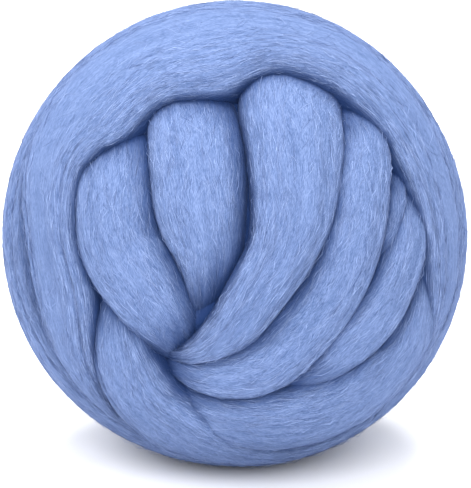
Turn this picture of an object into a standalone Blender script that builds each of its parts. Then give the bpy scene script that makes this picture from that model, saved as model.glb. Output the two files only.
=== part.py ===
"""A ball of wool roving: broad soft strands wound round a core, resting on a small flat spot.

The ball has a face, where the last strands cross one another inside a crown. Its back is
wound the same way, turned and mirrored, and a rim runs round each of the two. Every strand
is a path over the ball. The solid is one sphere whose points are raised to the height of
the strand that lies on top there.

Units are metres, +Z is up, and the origin is at the middle of the flat spot. The face looks
along -Y and is tipped up a little.
"""

import math
from collections import namedtuple

import bpy
import numpy as np

MM = 0.001

# Driving dimensions.
BALL_RADIUS = 75.0 * MM
CENTRE_HEIGHT = 72.5 * MM
FACE_TIP = math.radians(13.0)
BACK_CLOCK = 115
HALF_TURN = 180

# The flat spot, and the squashed wool that slopes up from it.
FOOT_RADIUS = 16.0 * MM
FOOT_SKIRT = 14.0 * MM
FOOT_SKIRT_SLOPE = 1.5

# A strand's section.
FULL_WIDTH = 36.0 * MM
FULL_DEPTH = 13.5 * MM
GROOVE_DEPTH = 12.0 * MM
STRAND_ROUNDNESS = 3.1
WRAP_ROUNDNESS = 4.5
CREASE_ROUNDNESS = 2.4
GROOVE_BLEND = 0.4 * MM

# Fineness of the solid.
SPHERE_SUBDIVISIONS = 7
SOLID_TRIANGLES = 11000
SOFTEN_FACTOR = 0.5
SOFTEN_PASSES = 6
SAMPLES_PER_STATION = 8
RIM_SAMPLES = 120
SMALL = 1e-9
CUTTER_SIZE = 0.1
FLOOR_OVERLAP = 0.4 * MM

# Combed wool, periwinkle blue.
WOOL_COLOUR = (0.24, 0.35, 0.75, 1.0)
WOOL_ROUGHNESS = 0.9

# clock: degrees clockwise from the top of the face, seen from in front of it.
# away: degrees out from the middle of the face. 0 is its middle, 90 the ball's edge.
# width: of the strand there, in millimetres.
Station = namedtuple("Station", "clock away width")

# depth: how far a strand's end sinks under what lies on it, over the last `length` of it.
Tuck = namedtuple("Tuck", "depth length")

UNDER_WRAP = Tuck(14 * MM, 41 * MM)
UNDER_RIM = Tuck(12 * MM, 85 * MM)
UNDER_EDGE = Tuck(12 * MM, 30 * MM)
UNDER_NEIGHBOUR = Tuck(8 * MM, 18 * MM)
UNDER_LIP = Tuck(14 * MM, 48 * MM)
UNDER_CROSSING = Tuck(12 * MM, 40 * MM)
UNDER_CORNER = Tuck(10 * MM, 43 * MM)
UNDER_LOWEST = Tuck(6 * MM, 45 * MM)

# lift: how far the strand's top stands out from the ball's radius, in millimetres.
# tilt: how far its left edge, going from head to tail, stands over its middle, and its
# right edge under it, in millimetres.
# roundness: of its section. 2 is an ellipse, and more is flatter on top and steeper at the
# sides.
Strand = namedtuple(
    "Strand",
    "name lift tilt head stations tail roundness",
    defaults=(UNDER_NEIGHBOUR, STRAND_ROUNDNESS),
)

STRANDS = (
    Strand("top_wrap", 0.6, -0.8, UNDER_RIM, (
        Station(190, 90, 10), Station(200, 84, 10), Station(208, 77, 11.5), Station(220, 67.9, 14.6),
        Station(234, 59.2, 21.6), Station(251, 51.9, 28), Station(272, 52.4, 26.8), Station(291, 57.6, 39),
        Station(309, 60, 57.2), Station(331, 60.5, 57.2), Station(353, 60.9, 62.6), Station(12, 62.7, 46.8),
        Station(32, 65.2, 45.3), Station(51, 63.2, 37.6), Station(70, 61.4, 31.1), Station(90, 62.2, 27.6),
        Station(107, 67.7, 23.3), Station(122, 75.8, 17), Station(137, 84, 12), Station(150, 90, 11),
    ), UNDER_RIM, WRAP_ROUNDNESS),
    Strand("left_inner", -2.0, -2.2, UNDER_WRAP, (
        Station(316, 56, 21), Station(308, 46, 28), Station(303, 39.2, 30.5), Station(287, 33.4, 32.6),
        Station(267, 30.5, 33.4), Station(244, 27.4, 32), Station(223, 29.4, 28.8), Station(210, 33.6, 24),
        Station(201, 38.3, 17.5),
    ), UNDER_CORNER),
    Strand("middle_left", -2.0, -1.8, UNDER_LIP, (
        Station(343, 56, 29), Station(341, 45, 32.5), Station(340, 35, 33.5), Station(334, 22, 34),
        Station(310, 11, 32), Station(235, 8, 25), Station(207, 16, 15), Station(201, 24.5, 9),
    ), UNDER_CORNER),
    Strand("middle", 0.0, 0.0, UNDER_WRAP, (
        Station(21, 60, 40), Station(23, 50, 41.5), Station(25, 38, 38), Station(38, 26, 35),
        Station(66, 16.3, 30.2), Station(110, 12.3, 24.2), Station(158, 15, 21), Station(184, 24.3, 16.5),
        Station(201, 34.8, 8), Station(212, 42, 4.5),
    ), UNDER_CROSSING),
    Strand("middle_right", -1.3, 1.7, UNDER_LIP, (
        Station(36, 64, 14.5), Station(44, 53, 20.3), Station(54, 44, 21.3), Station(67, 35.7, 23.3),
        Station(90, 29.7, 25.3), Station(116, 27.7, 26.3), Station(143, 28.8, 26.6), Station(168, 34, 25),
        Station(188, 38, 21.5), Station(204, 41, 15), Station(214, 45, 8.5),
    ), UNDER_CROSSING),
    Strand("right_crease", -2.9, 0.8, UNDER_EDGE, (
        Station(62, 60, 8), Station(70, 51, 9), Station(81, 44.5, 10), Station(95, 39.5, 9),
        Station(108, 37, 6.5),
    ), roundness=CREASE_ROUNDNESS),
    Strand("right_inner", -0.5, -0.5, UNDER_WRAP, (
        Station(66, 62, 12), Station(76, 54, 17), Station(86, 50, 18.5), Station(99, 47, 20),
        Station(116, 44.8, 23.1), Station(133, 43.4, 22.8), Station(148, 44.4, 16.2), Station(162, 45, 9.5),
    ), UNDER_LOWEST),
    Strand("low_right", 0.3, 0.5, UNDER_WRAP, (
        Station(88, 62, 10.5), Station(98, 58, 14), Station(111, 59, 20.5), Station(126, 62.5, 32.9),
        Station(142, 62.7, 40.4), Station(157, 59.8, 40), Station(171, 56, 35), Station(186, 53, 25.5),
        Station(200, 51, 16), Station(210, 49, 9.5),
    ), UNDER_CORNER),
    Strand("low_left", 0.0, 0.4, UNDER_CORNER, (
        Station(250, 34, 7.5), Station(241, 38.4, 14.2), Station(227, 44.8, 24.8), Station(212, 53.8, 32.2),
        Station(201, 60.4, 40.5), Station(192, 66.5, 43), Station(180, 73, 32), Station(166, 79, 23.5),
        Station(150, 82, 21), Station(134, 85, 19),
    )),
)

# A rim runs right round the ball `away` degrees from an axis of its own, which leans `lean`
# degrees from the middle of the face toward `clock`.
Rim = namedtuple("Rim", "name clock lean away width lift")

RIMS = (
    Rim("front_rim", 0, 0, 81, 41, -0.7),
    Rim("back_rim", 110, 2, 104, 40, -0.3),
)


def unit(vectors):
    """The vectors, one a row, each scaled to length 1."""
    return vectors / np.linalg.norm(vectors, axis=-1, keepdims=True)


def face_direction(clock, away):
    """The direction from the ball's centre, in world axes, of a place on the face."""
    across = math.sin(away) * math.sin(clock)
    up = math.sin(away) * math.cos(clock)
    out = math.cos(away)
    return np.array((
        across,
        -out * math.cos(FACE_TIP) + up * math.sin(FACE_TIP),
        out * math.sin(FACE_TIP) + up * math.cos(FACE_TIP),
    ))


def smooth_rows(rows):
    """A Catmull-Rom curve through the rows, with SAMPLES_PER_STATION samples to a span."""
    padded = np.vstack((2 * rows[0] - rows[1], rows, 2 * rows[-1] - rows[-2]))
    steps = np.arange(SAMPLES_PER_STATION)[:, None] / SAMPLES_PER_STATION
    spans = []
    for before, start, end, after in zip(padded, padded[1:], padded[2:], padded[3:]):
        spans.append(
            start
            + 0.5 * steps * (end - before)
            + steps**2 * (before - 2.5 * start + 2 * end - 0.5 * after)
            + 0.5 * steps**3 * (after - before + 3 * (start - end))
        )
    spans.append(rows[-1:])
    return np.vstack(spans)


def strand_path(strand, behind):
    """The path of a strand: directions, half widths and lifts a sample, tilt and roundness.

    Behind, it is the same strand mirrored onto the ball's back and turned by BACK_CLOCK.
    """
    rows = []
    for station in strand.stations:
        clock = math.radians(station.clock + (BACK_CLOCK if behind else 0))
        away = math.radians(HALF_TURN - station.away if behind else station.away)
        rows.append((*face_direction(clock, away), station.width * MM))
    curve = smooth_rows(np.array(rows))
    directions = unit(curve[:, :3])
    steps = np.linalg.norm(np.diff(directions, axis=0), axis=1) * BALL_RADIUS
    along = np.concatenate(((0.0,), np.cumsum(steps)))
    lifts = strand.lift * MM
    for tuck, to_end in ((strand.head, along), (strand.tail, along[-1] - along)):
        lifts = lifts - tuck.depth * np.clip(1 - to_end / tuck.length, 0, 1) ** 2
    tilt = (-strand.tilt if behind else strand.tilt) * MM
    return directions, curve[:, 3] / 2, lifts, tilt, strand.roundness


def rim_path(rim):
    """The path of a rim, as strand_path gives it."""
    clock = math.radians(rim.clock)
    lean = math.radians(rim.lean)
    away = math.radians(rim.away)
    axis = face_direction(clock, lean)
    outward = face_direction(clock, lean + math.pi / 2)
    sideways = np.cross(axis, outward)
    turns = np.linspace(0, 2 * math.pi, RIM_SAMPLES, endpoint=False)[:, None]
    around = np.cos(turns) * outward + np.sin(turns) * sideways
    directions = math.cos(away) * axis + math.sin(away) * around
    half_widths = np.full(RIM_SAMPLES, rim.width * MM / 2)
    lifts = np.full(RIM_SAMPLES, rim.lift * MM)
    return directions, half_widths, lifts, 0.0, STRAND_ROUNDNESS


def strand_radius(places, path):
    """The distance from the ball's centre to a strand's surface, in each of the places.

    Places that the strand doesn't cover get 0.
    """
    directions, half_widths, lifts, tilt, roundness = path
    angles = np.arccos(np.clip(places @ directions.T, -1, 1))
    across = angles * BALL_RADIUS / half_widths
    nearest = np.argmin(across, axis=1)
    share = across[np.arange(len(places)), nearest]
    bulge = np.clip(1 - share**roundness, 0, 1) ** (1 / roundness)
    depths = FULL_DEPTH * np.sqrt(np.minimum(2 * half_widths / FULL_WIDTH, 1))
    left_sides = np.cross(directions, np.gradient(directions, axis=0))
    left_share = share * np.sign((places * left_sides[nearest]).sum(axis=1))
    rise = lifts[nearest] + tilt * left_share
    radius = BALL_RADIUS + rise - depths[nearest] * (1 - bulge)
    return np.where(share < 1, radius, 0.0)


def foot_radius(places):
    """The distance out to the pressed wool round the foot, in each of the places."""
    below = np.maximum(-places[:, 2], SMALL)
    spread = np.arccos(np.clip(below, 0, 1)) * CENTRE_HEIGHT
    fall = np.clip((spread - FOOT_RADIUS) / FOOT_SKIRT, 0, 1)
    radius = (CENTRE_HEIGHT + FLOOR_OVERLAP) / below - GROOVE_DEPTH * fall**FOOT_SKIRT_SLOPE
    return np.where(fall < 1, radius, 0.0)


def ball_radius(places):
    """The distance from the ball's centre to its surface, in each of the places.

    The highest strand wins, and where two meet a small fillet fills the groove.
    """
    paths = [rim_path(rim) for rim in RIMS]
    paths += [strand_path(strand, behind=False) for strand in STRANDS]
    paths += [strand_path(strand, behind=True) for strand in STRANDS]
    heights = [strand_radius(places, path) for path in paths]
    heights.append(np.full(len(places), BALL_RADIUS - GROOVE_DEPTH))
    heights.append(foot_radius(places))
    heights = np.array(heights)
    top = heights.max(axis=0)
    return top + GROOVE_BLEND * np.log(np.exp((heights - top) / GROOVE_BLEND).sum(axis=0))


def press_on_floor(points):
    """The points, with those that would pass the floor pressed to just under it."""
    pressed = points.copy()
    pressed[:, 2] = np.maximum(points[:, 2], -FLOOR_OVERLAP)
    return pressed


def clear_scene():
    """Remove every object from the scene."""
    for item in list(bpy.data.objects):
        bpy.data.objects.remove(item, do_unlink=True)


def new_collection(name):
    """A collection of that name in the scene."""
    collection = bpy.data.collections.new(name)
    bpy.context.scene.collection.children.link(collection)
    return collection


def move_to(item, collection):
    """Put the object in that collection only."""
    for old in list(item.users_collection):
        old.objects.unlink(item)
    collection.objects.link(item)


def wool_material():
    """The finish of the whole ball."""
    material = bpy.data.materials.new("combed_wool")
    material.use_nodes = True
    shader = material.node_tree.nodes["Principled BSDF"]
    shader.inputs["Base Color"].default_value = WOOL_COLOUR
    shader.inputs["Roughness"].default_value = WOOL_ROUGHNESS
    shader.inputs["Metallic"].default_value = 0.0
    material.diffuse_color = WOOL_COLOUR
    return material


def make_floor_cutter(collection):
    """A block under the floor, which trims the foot flat."""
    bpy.ops.mesh.primitive_cube_add(size=CUTTER_SIZE, location=(0, 0, -CUTTER_SIZE / 2))
    cutter = bpy.context.object
    cutter.name = "floor_cutter"
    cutter.hide_render = True
    cutter.display_type = "WIRE"
    move_to(cutter, collection)
    return cutter


def make_ball(collection, cutter):
    """The wound ball: a sphere with its points raised, softened, thinned and trimmed flat."""
    bpy.ops.mesh.primitive_ico_sphere_add(subdivisions=SPHERE_SUBDIVISIONS, radius=1)
    ball = bpy.context.object
    ball.name = "wound_ball"
    move_to(ball, collection)
    mesh = ball.data
    mesh.name = "wound_ball"
    places = np.empty(len(mesh.vertices) * 3)
    mesh.vertices.foreach_get("co", places)
    places = unit(places.reshape(-1, 3))
    points = places * ball_radius(places)[:, None] + (0.0, 0.0, CENTRE_HEIGHT)
    mesh.vertices.foreach_set("co", press_on_floor(points).ravel())
    mesh.shade_smooth()
    mesh.materials.append(wool_material())

    soften = ball.modifiers.new("soften", "SMOOTH")
    soften.factor = SOFTEN_FACTOR
    soften.iterations = SOFTEN_PASSES
    thin = ball.modifiers.new("thin_out", "DECIMATE")
    thin.ratio = SOLID_TRIANGLES / len(mesh.polygons)
    trim = ball.modifiers.new("trim_foot", "BOOLEAN")
    trim.operation = "DIFFERENCE"
    trim.solver = "EXACT"
    trim.object = cutter
    return ball


def main():
    """Build the ball."""
    clear_scene()
    cutter = make_floor_cutter(new_collection("cutters"))
    make_ball(new_collection("wool_roving_ball"), cutter)


main()
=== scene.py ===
import logging
import math
from dataclasses import dataclass, replace
from enum import Enum
from typing import Any, NamedTuple, Sequence

import bpy
import numpy as np
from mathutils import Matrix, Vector


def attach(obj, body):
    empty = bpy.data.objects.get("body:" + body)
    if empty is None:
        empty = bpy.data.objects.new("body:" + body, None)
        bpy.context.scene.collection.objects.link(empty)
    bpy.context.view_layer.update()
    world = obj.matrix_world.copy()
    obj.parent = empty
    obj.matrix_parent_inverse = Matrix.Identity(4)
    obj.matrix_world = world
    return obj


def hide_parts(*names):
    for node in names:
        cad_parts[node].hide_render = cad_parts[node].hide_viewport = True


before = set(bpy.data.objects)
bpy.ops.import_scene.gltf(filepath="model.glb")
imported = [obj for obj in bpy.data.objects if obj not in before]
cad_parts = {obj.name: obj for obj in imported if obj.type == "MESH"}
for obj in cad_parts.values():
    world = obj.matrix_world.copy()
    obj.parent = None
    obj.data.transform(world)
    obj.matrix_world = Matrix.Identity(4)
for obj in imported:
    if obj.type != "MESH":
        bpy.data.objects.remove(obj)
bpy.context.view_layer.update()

LOG = logging.getLogger("wool_roving_ball")
MM = 0.001
TINY = 1e-12
IMAGE_WIDTH = 471


# --------------------------------------------------------------------------------------
# Layout: where each strand lies on the ball


class Side(Enum):
    """Which of the ball's two wound sides a strand lies on."""

    FACE = "face"
    BACK = "back"


class Station(NamedTuple):
    """A place that a strand passes, and its width there.

    clock is degrees clockwise from the top of the face, away is degrees out from the
    face's middle, and width is in millimetres.
    """

    clock: float
    away: float
    width: float


class Tuck(NamedTuple):
    """How deep a strand's end sinks under what lies on it, and over what length, in mm."""

    depth: float
    length: float


UNDER_WRAP = Tuck(14, 41)
UNDER_RIM = Tuck(12, 85)
UNDER_EDGE = Tuck(12, 30)
UNDER_NEIGHBOUR = Tuck(8, 18)
UNDER_LIP = Tuck(14, 48)
UNDER_CROSSING = Tuck(12, 40)
UNDER_CORNER = Tuck(10, 43)
UNDER_LOWEST = Tuck(6, 45)


@dataclass(frozen=True)
class StrandPlan:
    """A strand from its head to its tail.

    lift is how far its top stands over the ball's radius in millimetres. tilt is how far
    the edge on its left hand, going from head to tail, stands over its middle, and its
    right edge under it. creasing is how deeply it is folded lengthwise, from 0 to 1.
    roundness is the power that rounds its section: 2 makes an ellipse, and a higher one
    flattens the top and fills out the edges.
    """

    name: str
    lift: float
    tilt: float
    creasing: float
    head: Tuck
    stations: tuple[Station, ...]
    tail: Tuck = UNDER_NEIGHBOUR
    roundness: float = 3.1


@dataclass(frozen=True)
class RimPlan:
    """A strand that runs right round the ball.

    It lies `away` degrees from an axis that leans `lean` degrees from the middle of the
    face toward `clock`. Its width and lift are in millimetres.
    """

    name: str
    clock: float
    lean: float
    away: float
    width: float
    lift: float
    creasing: float


def route(*rows: tuple[float, float, float]) -> tuple[Station, ...]:
    """The stations of a strand, from rows of clock, away and width."""
    return tuple(Station(*row) for row in rows)


STRANDS: tuple[StrandPlan, ...] = (
    StrandPlan(
        "top_wrap", lift=0.6, tilt=-0.8, creasing=1.0, roundness=4.5,
        head=UNDER_RIM, tail=UNDER_RIM, stations=route(
            (190, 90, 10), (200, 84, 10), (208, 77, 11.5), (220, 67.9, 14.6),
            (234, 59.2, 21.6), (251, 51.9, 28), (272, 52.4, 26.8), (291, 57.6, 39),
            (309, 60, 57.2), (331, 60.5, 57.2), (353, 60.9, 62.6), (12, 62.7, 46.8),
            (32, 65.2, 45.3), (51, 63.2, 37.6), (70, 61.4, 31.1), (90, 62.2, 27.6),
            (107, 67.7, 23.3), (122, 75.8, 17), (137, 84, 12), (150, 90, 11),
        ),
    ),
    StrandPlan(
        "left_inner", lift=-2.0, tilt=-2.2, creasing=0.4,
        head=UNDER_WRAP, tail=UNDER_CORNER, stations=route(
            (316, 56, 21), (308, 46, 28), (303, 39.2, 30.5), (287, 33.4, 32.6),
            (267, 30.5, 33.4), (244, 27.4, 32), (223, 29.4, 28.8), (210, 33.6, 24),
            (201, 38.3, 17.5),
        ),
    ),
    StrandPlan(
        "middle_left", lift=-2.0, tilt=-1.8, creasing=0.3,
        head=UNDER_LIP, tail=UNDER_CORNER, stations=route(
            (343, 56, 29), (341, 45, 32.5), (340, 35, 33.5), (334, 22, 34),
            (310, 11, 32), (235, 8, 25), (207, 16, 15), (201, 24.5, 9),
        ),
    ),
    StrandPlan(
        "middle", lift=0.0, tilt=0.0, creasing=0.3,
        head=UNDER_WRAP, tail=UNDER_CROSSING, stations=route(
            (21, 60, 40), (23, 50, 41.5), (25, 38, 38), (38, 26, 35), (66, 16.3, 30.2),
            (110, 12.3, 24.2), (158, 15, 21), (184, 24.3, 16.5), (201, 34.8, 8),
            (212, 42, 4.5),
        ),
    ),
    StrandPlan(
        "middle_right", lift=-1.3, tilt=1.7, creasing=0.4,
        head=UNDER_LIP, tail=UNDER_CROSSING, stations=route(
            (36, 64, 14.5), (44, 53, 20.3), (54, 44, 21.3), (67, 35.7, 23.3),
            (90, 29.7, 25.3), (116, 27.7, 26.3), (143, 28.8, 26.6), (168, 34, 25),
            (188, 38, 21.5), (204, 41, 15), (214, 45, 8.5),
        ),
    ),
    StrandPlan(
        "right_crease", lift=-2.9, tilt=0.8, creasing=0.3, roundness=2.4,
        head=UNDER_EDGE, stations=route(
            (62, 60, 8), (70, 51, 9), (81, 44.5, 10), (95, 39.5, 9), (108, 37, 6.5),
        ),
    ),
    StrandPlan(
        "right_inner", lift=-0.5, tilt=-0.5, creasing=0.4,
        head=UNDER_WRAP, tail=UNDER_LOWEST, stations=route(
            (66, 62, 12), (76, 54, 17), (86, 50, 18.5), (99, 47, 20),
            (116, 44.8, 23.1), (133, 43.4, 22.8), (148, 44.4, 16.2), (162, 45, 9.5),
        ),
    ),
    StrandPlan(
        "low_right", lift=0.3, tilt=0.5, creasing=0.7,
        head=UNDER_WRAP, tail=UNDER_CORNER, stations=route(
            (88, 62, 10.5), (98, 58, 14), (111, 59, 20.5), (126, 62.5, 32.9),
            (142, 62.7, 40.4), (157, 59.8, 40), (171, 56, 35), (186, 53, 25.5),
            (200, 51, 16), (210, 49, 9.5),
        ),
    ),
    StrandPlan(
        "low_left", lift=0.0, tilt=0.4, creasing=0.8,
        head=UNDER_CORNER, stations=route(
            (250, 34, 7.5), (241, 38.4, 14.2), (227, 44.8, 24.8), (212, 53.8, 32.2),
            (201, 60.4, 40.5), (192, 66.5, 43), (180, 73, 32), (166, 79, 23.5),
            (150, 82, 21), (134, 85, 19),
        ),
    ),
)

RIMS: tuple[RimPlan, ...] = (
    RimPlan("front_rim", clock=0, lean=0, away=81, width=41, lift=-0.7, creasing=0.9),
    RimPlan("back_rim", clock=110, lean=2, away=104, width=40, lift=-0.3, creasing=0.9),
)


# --------------------------------------------------------------------------------------
# Small mathematics


def unit(vectors: np.ndarray) -> np.ndarray:
    """The vectors, one a row, each scaled to length 1."""
    return vectors / np.linalg.norm(vectors, axis=-1, keepdims=True)


def path_lengths(directions: np.ndarray, radius: float) -> np.ndarray:
    """How far along the ball's surface each sample of a path is from the first."""
    steps = np.linalg.norm(np.diff(directions, axis=0), axis=1) * radius
    return np.concatenate(((0.0,), np.cumsum(steps)))


def smooth_rows(rows: np.ndarray, samples: int) -> np.ndarray:
    """A Catmull-Rom curve through the rows.

    Args:
        rows: the points that it passes, one a row.
        samples: how many samples each span gets.

    Returns:
        The samples, one a row.
    """
    padded = np.vstack((2 * rows[0] - rows[1], rows, 2 * rows[-1] - rows[-2]))
    steps = np.arange(samples)[:, None] / samples
    spans = []
    for before, start, end, after in zip(padded, padded[1:], padded[2:], padded[3:]):
        spans.append(
            start
            + 0.5 * steps * (end - before)
            + steps**2 * (before - 2.5 * start + 2 * end - 0.5 * after)
            + 0.5 * steps**3 * (after - before + 3 * (start - end))
        )
    spans.append(rows[-1:])
    return np.vstack(spans)


def grid_normals(points: np.ndarray, closed: bool) -> np.ndarray:
    """Outward unit normals of a grid whose columns close on themselves.

    Args:
        points: the grid's points, a row by a column by x, y, z.
        closed: whether its last row joins its first too.

    Returns:
        The normals, in the order of the points.
    """
    round_step = np.roll(points, -1, axis=1) - np.roll(points, 1, axis=1)
    if closed:
        long_step = np.roll(points, -1, axis=0) - np.roll(points, 1, axis=0)
    else:
        long_step = np.gradient(points, axis=0)
    normals = np.cross(round_step, long_step)
    lengths = np.linalg.norm(normals, axis=-1, keepdims=True)
    return normals / np.maximum(lengths, TINY)


def grid_corners(
    rows: int, columns: int, closed_rows: bool = False, closed_columns: bool = False
) -> tuple[np.ndarray, np.ndarray, np.ndarray]:
    """The four-sided faces of a grid of points.

    Args:
        rows: how many rows of points it has.
        columns: how many points a row has.
        closed_rows: whether its last row joins its first.
        closed_columns: whether its last column joins its first.

    Returns:
        The point, the row and the column of each face corner. Where the grid closes, the
        row or column is counted on past the last.
    """
    row, column = np.meshgrid(
        np.arange(rows if closed_rows else rows - 1),
        np.arange(columns if closed_columns else columns - 1),
        indexing="ij",
    )
    row, column = row.ravel(), column.ravel()
    corner_rows = np.column_stack((row, row, row + 1, row + 1)).ravel()
    corner_columns = np.column_stack((column, column + 1, column + 1, column)).ravel()
    corners = corner_rows % rows * columns + corner_columns % columns
    return corners, corner_rows, corner_columns


class LatticeNoise:
    """Smooth seeded noise between -1 and 1, read at any two coordinates."""

    SIZE = 512
    FEWEST_STEPS = 2

    def __init__(self, seed: int) -> None:
        """Fill the lattice from the seed."""
        generator = np.random.default_rng(seed)
        self.lattice = generator.uniform(-1.0, 1.0, (self.SIZE, self.SIZE))

    def __call__(self, u: np.ndarray, v: np.ndarray, period: int = 0) -> np.ndarray:
        """Read the noise.

        Args:
            u: the first coordinate, in lattice steps.
            v: the second coordinate, in lattice steps.
            period: after how many steps of u the noise repeats, or 0.

        Returns:
            The noise at each place.
        """
        wrap = period or self.SIZE
        u_floor = np.floor(u).astype(int)
        v_floor = np.floor(v).astype(int)
        u_share = u - u_floor
        v_share = v - v_floor
        u_share = u_share * u_share * (3 - 2 * u_share)
        v_share = v_share * v_share * (3 - 2 * v_share)
        u_low, u_high = u_floor % wrap, (u_floor + 1) % wrap
        v_low, v_high = v_floor % self.SIZE, (v_floor + 1) % self.SIZE
        grid = self.lattice
        low = grid[u_low, v_low] * (1 - u_share) + grid[u_high, v_low] * u_share
        high = grid[u_low, v_high] * (1 - u_share) + grid[u_high, v_high] * u_share
        return low * (1 - v_share) + high * v_share


# --------------------------------------------------------------------------------------
# The ball's form and the strands' paths


@dataclass(frozen=True)
class BallForm:
    """The sizes of the wound ball, in metres and radians.

    The face is tipped up by face_tip, and the back is turned by back_clock degrees. A
    strand of full_width or more has its top full_depth over its widest level, and every
    strand's underside is under_depth below it. core_depth is how far the earlier winding
    lies under the ball's radius.
    """

    radius: float = 75.0 * MM
    centre_height: float = 72.5 * MM
    face_tip: float = math.radians(13.0)
    back_clock: float = 115.0
    full_width: float = 36.0 * MM
    full_depth: float = 13.5 * MM
    under_depth: float = 7.0 * MM
    core_depth: float = 11.0 * MM

    def direction(self, clock: float, away: float) -> np.ndarray:
        """The direction from the ball's centre to a place.

        Args:
            clock: degrees clockwise from the top of the face.
            away: degrees out from the middle of the face.

        Returns:
            The direction, of length 1.
        """
        clock, away = math.radians(clock), math.radians(away)
        across = math.sin(away) * math.sin(clock)
        up = math.sin(away) * math.cos(clock)
        out = math.cos(away)
        return np.array((
            across,
            -out * math.cos(self.face_tip) + up * math.sin(self.face_tip),
            out * math.sin(self.face_tip) + up * math.cos(self.face_tip),
        ))

    def centre(self) -> np.ndarray:
        """The middle of the ball."""
        return np.array((0.0, 0.0, self.centre_height))

    def depths(self, half_widths: np.ndarray) -> np.ndarray:
        """How far a strand's top stands over its widest level, for each half width."""
        return self.full_depth * np.sqrt(np.minimum(2 * half_widths / self.full_width, 1))


@dataclass(frozen=True)
class StrandPath:
    """Where a strand lies: a direction, a half width and a lift for each sample."""

    SPAN_SAMPLES = 24
    RIM_SAMPLES = 240
    FEWEST_SAMPLES = 8

    name: str
    directions: np.ndarray
    half_widths: np.ndarray
    lifts: np.ndarray
    tilt: float
    closed: bool
    creasing: float
    roundness: float = 3.1

    @classmethod
    def of_strand(cls, form: BallForm, plan: StrandPlan, side: Side) -> "StrandPath":
        """The path of a strand on one side of the ball.

        Args:
            form: the ball's sizes.
            plan: the strand's stations.
            side: the face, or the back, which is wound as its mirror image and turned.

        Returns:
            The path, with both of its ends sinking under what lies beside them.
        """
        behind = side is Side.BACK
        rows = []
        for station in plan.stations:
            clock = station.clock + (form.back_clock if behind else 0.0)
            away = 180.0 - station.away if behind else station.away
            rows.append((*form.direction(clock, away), station.width * MM))
        curve = smooth_rows(np.array(rows), cls.SPAN_SAMPLES)
        directions = unit(curve[:, :3])
        along = path_lengths(directions, form.radius)
        lifts = plan.lift * MM
        for tuck, to_end in ((plan.head, along), (plan.tail, along[-1] - along)):
            sunk = np.clip(1 - to_end / (tuck.length * MM), 0, 1) ** 2
            lifts = lifts - tuck.depth * MM * sunk
        name = f"{side.value}_{plan.name}"
        tilt = (-plan.tilt if behind else plan.tilt) * MM
        return cls(
            name, directions, curve[:, 3] / 2, lifts, tilt, False, plan.creasing, plan.roundness
        )

    @classmethod
    def of_rim(cls, form: BallForm, plan: RimPlan) -> "StrandPath":
        """The path of a rim.

        Args:
            form: the ball's sizes.
            plan: the rim's place and sizes.

        Returns:
            The path, which closes on itself.
        """
        axis = form.direction(plan.clock, plan.lean)
        outward = form.direction(plan.clock, plan.lean + 90.0)
        sideways = np.cross(axis, outward)
        turns = np.linspace(0, 2 * math.pi, cls.RIM_SAMPLES, endpoint=False)[:, None]
        around = np.cos(turns) * outward + np.sin(turns) * sideways
        away = math.radians(plan.away)
        directions = math.cos(away) * axis + math.sin(away) * around
        half_widths = np.full(len(turns), plan.width * MM / 2)
        lifts = np.full(len(turns), plan.lift * MM)
        return cls(plan.name, directions, half_widths, lifts, 0.0, True, plan.creasing)

    def resampled(self, form: BallForm, step: float) -> "StrandPath":
        """The same path with its samples an even step apart.

        Args:
            form: the ball's sizes.
            step: how far apart the samples lie on the ball.

        Returns:
            The path with its new samples.
        """
        rows = np.column_stack((self.directions, self.half_widths, self.lifts))
        if self.closed:
            rows = np.vstack((rows, rows[:1]))
        along = path_lengths(rows[:, :3], form.radius)
        count = max(self.FEWEST_SAMPLES, round(along[-1] / step))
        wanted = np.linspace(0, along[-1], count + 1)
        if self.closed:
            wanted = wanted[:-1]
        even = np.column_stack([np.interp(wanted, along, column) for column in rows.T])
        directions, half_widths, lifts = unit(even[:, :3]), even[:, 3], even[:, 4]
        return replace(self, directions=directions, half_widths=half_widths, lifts=lifts)

    def length(self, form: BallForm) -> float:
        """How long the path is on the ball's surface."""
        joined = self.directions[:1] if self.closed else self.directions[:0]
        return float(path_lengths(np.vstack((self.directions, joined)), form.radius)[-1])


# --------------------------------------------------------------------------------------
# Meshes


@dataclass
class MeshParts:
    """Points and faces of a mesh, with its UV maps, one row a face corner."""

    points: np.ndarray
    corners: np.ndarray
    face_sizes: np.ndarray
    uv_maps: dict[str, np.ndarray]

    def to_object(self, name: str, finish: bpy.types.Material) -> bpy.types.Object:
        """Make a smooth-shaded object of these parts and link it to the scene.

        Args:
            name: the object's name.
            finish: the material that dresses it.

        Returns:
            The object.
        """
        mesh = bpy.data.meshes.new(name)
        mesh.vertices.add(len(self.points))
        mesh.vertices.foreach_set("co", self.points.astype(np.float32).ravel())
        mesh.loops.add(len(self.corners))
        mesh.loops.foreach_set("vertex_index", self.corners.astype(np.int32))
        mesh.polygons.add(len(self.face_sizes))
        starts = np.concatenate(((0,), np.cumsum(self.face_sizes)[:-1]))
        mesh.polygons.foreach_set("loop_start", starts.astype(np.int32))
        mesh.polygons.foreach_set("loop_total", self.face_sizes.astype(np.int32))
        for map_name, rows in self.uv_maps.items():
            layer = mesh.uv_layers.new(name=map_name)
            layer.data.foreach_set("uv", rows.astype(np.float32).ravel())
        mesh.update()
        mesh.validate()
        mesh.shade_smooth()
        mesh.materials.append(finish)
        item = bpy.data.objects.new(name, mesh)
        bpy.context.scene.collection.objects.link(item)
        return item


@dataclass(frozen=True)
class Relief:
    """One size of lengthwise fold in a strand's surface, in millimetres.

    A sharp one makes narrow valleys, and the others make soft waves.
    """

    along: float
    across: float
    height: float
    sharp: bool = False


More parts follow.
